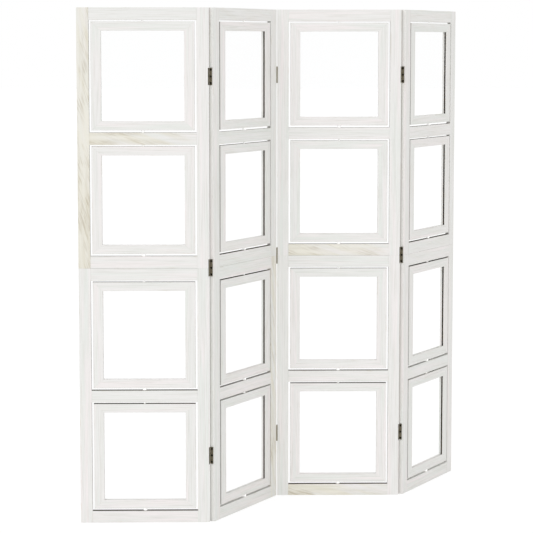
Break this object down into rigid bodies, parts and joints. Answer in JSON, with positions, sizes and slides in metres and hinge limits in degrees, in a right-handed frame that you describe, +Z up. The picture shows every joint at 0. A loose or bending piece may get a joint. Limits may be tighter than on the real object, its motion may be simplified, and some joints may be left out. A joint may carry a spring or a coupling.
{
  "type": "photo frame room divider",
  "caption": "Free-standing folding screen of hinged wooden panels, each holding a column of photo frames that turn on upright pivots.",
  "frame": {"origin": "middle of the footprint's bounding box, on the floor", "axes": "+Z up, +X along the first and third panels, +Y from the front to the back"},
  "size_m": [1.2386, 0.7224, 1.6],
  "materials": {
    "white_washed_wood": "white-washed, matt",
    "clear_plastic_sheet": "clear, polished",
    "bronze_steel": "dark bronze plated, satin",
    "white_nylon": "moulded, satin"
  },
  "bodies": {
    "panel_1": {"panel_1_stiles": "white_washed_wood", "panel_1_rails": "white_washed_wood", "panel_1_tongues": "white_washed_wood", "panel_1_pivots": "white_nylon", "hinge_1_left_leaves": "bronze_steel", "hinge_1_pins": "bronze_steel"},
    "panel_2": {"panel_2_stiles": "white_washed_wood", "panel_2_rails": "white_washed_wood", "panel_2_tongues": "white_washed_wood", "panel_2_pivots": "white_nylon", "hinge_1_right_leaves": "bronze_steel", "hinge_2_left_leaves": "bronze_steel", "hinge_2_pins": "bronze_steel"},
    "panel_3": {"panel_3_stiles": "white_washed_wood", "panel_3_rails": "white_washed_wood", "panel_3_tongues": "white_washed_wood", "panel_3_pivots": "white_nylon", "hinge_2_right_leaves": "bronze_steel", "hinge_3_left_leaves": "bronze_steel", "hinge_3_pins": "bronze_steel"},
    "panel_4": {"panel_4_stiles": "white_washed_wood", "panel_4_rails": "white_washed_wood", "panel_4_tongues": "white_washed_wood", "panel_4_pivots": "white_nylon", "hinge_3_right_leaves": "bronze_steel"},
    "frame_1_bottom": {"photo_frame_1_bottom": "white_washed_wood", "clear_sheets_1_bottom": "clear_plastic_sheet"},
    "frame_1_lower": {"photo_frame_1_lower": "white_washed_wood", "clear_sheets_1_lower": "clear_plastic_sheet"},
    "frame_1_upper": {"photo_frame_1_upper": "white_washed_wood", "clear_sheets_1_upper": "clear_plastic_sheet"},
    "frame_1_top": {"photo_frame_1_top": "white_washed_wood", "clear_sheets_1_top": "clear_plastic_sheet"},
    "frame_2_bottom": {"photo_frame_2_bottom": "white_washed_wood", "clear_sheets_2_bottom": "clear_plastic_sheet"},
    "frame_2_lower": {"photo_frame_2_lower": "white_washed_wood", "clear_sheets_2_lower": "clear_plastic_sheet"},
    "frame_2_upper": {"photo_frame_2_upper": "white_washed_wood", "clear_sheets_2_upper": "clear_plastic_sheet"},
    "frame_2_top": {"photo_frame_2_top": "white_washed_wood", "clear_sheets_2_top": "clear_plastic_sheet"},
    "frame_3_bottom": {"photo_frame_3_bottom": "white_washed_wood", "clear_sheets_3_bottom": "clear_plastic_sheet"},
    "frame_3_lower": {"photo_frame_3_lower": "white_washed_wood", "clear_sheets_3_lower": "clear_plastic_sheet"},
    "frame_3_upper": {"photo_frame_3_upper": "white_washed_wood", "clear_sheets_3_upper": "clear_plastic_sheet"},
    "frame_3_top": {"photo_frame_3_top": "white_washed_wood", "clear_sheets_3_top": "clear_plastic_sheet"},
    "frame_4_bottom": {"photo_frame_4_bottom": "white_washed_wood", "clear_sheets_4_bottom": "clear_plastic_sheet"},
    "frame_4_lower": {"photo_frame_4_lower": "white_washed_wood", "clear_sheets_4_lower": "clear_plastic_sheet"},
    "frame_4_upper": {"photo_frame_4_upper": "white_washed_wood", "clear_sheets_4_upper": "clear_plastic_sheet"},
    "frame_4_top": {"photo_frame_4_top": "white_washed_wood", "clear_sheets_4_top": "clear_plastic_sheet"}
  },
  "joints": [
    {"name": "fold_1_2", "type": "hinge", "parent": "panel_1", "child": "panel_2", "pos_m": [-0.21613, -0.34614, 0.8], "axis": [0, 0, 1], "range_deg": [-60, 120]},
    {"name": "fold_2_3", "type": "hinge", "parent": "panel_2", "child": "panel_3", "pos_m": [-0.00022, -0.00337, 0.8], "axis": [0, 0, -1], "range_deg": [-60, 120]},
    {"name": "fold_3_4", "type": "hinge", "parent": "panel_3", "child": "panel_4", "pos_m": [0.40458, 0.01223, 0.8], "axis": [0, 0, 1], "range_deg": [-60, 120]},
    {"name": "swivel_1_bottom", "type": "hinge", "parent": "panel_1", "child": "frame_1_bottom", "pos_m": [-0.41803, -0.35394, 0.2105], "axis": [0, 0, 1], "continuous": true},
    {"name": "swivel_1_lower", "type": "hinge", "parent": "panel_1", "child": "frame_1_lower", "pos_m": [-0.41803, -0.35394, 0.5915], "axis": [0, 0, 1], "continuous": true},
    {"name": "swivel_1_upper", "type": "hinge", "parent": "panel_1", "child": "frame_1_upper", "pos_m": [-0.41803, -0.35394, 1.0105], "axis": [0, 0, 1], "continuous": true},
    {"name": "swivel_1_top", "type": "hinge", "parent": "panel_1", "child": "frame_1_top", "pos_m": [-0.41803, -0.35394, 1.3915], "axis": [0, 0, 1], "continuous": true},
    {"name": "swivel_2_bottom", "type": "hinge", "parent": "panel_2", "child": "frame_2_bottom", "pos_m": [-0.10842, -0.17519, 0.2105], "axis": [0, 0, 1], "continuous": true},
    {"name": "swivel_2_lower", "type": "hinge", "parent": "panel_2", "child": "frame_2_lower", "pos_m": [-0.10842, -0.17519, 0.5915], "axis": [0, 0, 1], "continuous": true},
    {"name": "swivel_2_upper", "type": "hinge", "parent": "panel_2", "child": "frame_2_upper", "pos_m": [-0.10842, -0.17519, 1.0105], "axis": [0, 0, 1], "continuous": true},
    {"name": "swivel_2_top", "type": "hinge", "parent": "panel_2", "child": "frame_2_top", "pos_m": [-0.10842, -0.17519, 1.3915], "axis": [0, 0, 1], "continuous": true},
    {"name": "swivel_3_bottom", "type": "hinge", "parent": "panel_3", "child": "frame_3_bottom", "pos_m": [0.20268, 0.00443, 0.2105], "axis": [0, 0, 1], "continuous": true},
    {"name": "swivel_3_lower", "type": "hinge", "parent": "panel_3", "child": "frame_3_lower", "pos_m": [0.20268, 0.00443, 0.5915], "axis": [0, 0, 1], "continuous": true},
    {"name": "swivel_3_upper", "type": "hinge", "parent": "panel_3", "child": "frame_3_upper", "pos_m": [0.20268, 0.00443, 1.0105], "axis": [0, 0, 1], "continuous": true},
    {"name": "swivel_3_top", "type": "hinge", "parent": "panel_3", "child": "frame_3_top", "pos_m": [0.20268, 0.00443, 1.3915], "axis": [0, 0, 1], "continuous": true},
    {"name": "swivel_4_bottom", "type": "hinge", "parent": "panel_4", "child": "frame_4_bottom", "pos_m": [0.51228, 0.18318, 0.2105], "axis": [0, 0, 1], "continuous": true},
    {"name": "swivel_4_lower", "type": "hinge", "parent": "panel_4", "child": "frame_4_lower", "pos_m": [0.51228, 0.18318, 0.5915], "axis": [0, 0, 1], "continuous": true},
    {"name": "swivel_4_upper", "type": "hinge", "parent": "panel_4", "child": "frame_4_upper", "pos_m": [0.51228, 0.18318, 1.0105], "axis": [0, 0, 1], "continuous": true},
    {"name": "swivel_4_top", "type": "hinge", "parent": "panel_4", "child": "frame_4_top", "pos_m": [0.51228, 0.18318, 1.3915], "axis": [0, 0, 1], "continuous": true}
  ]
}
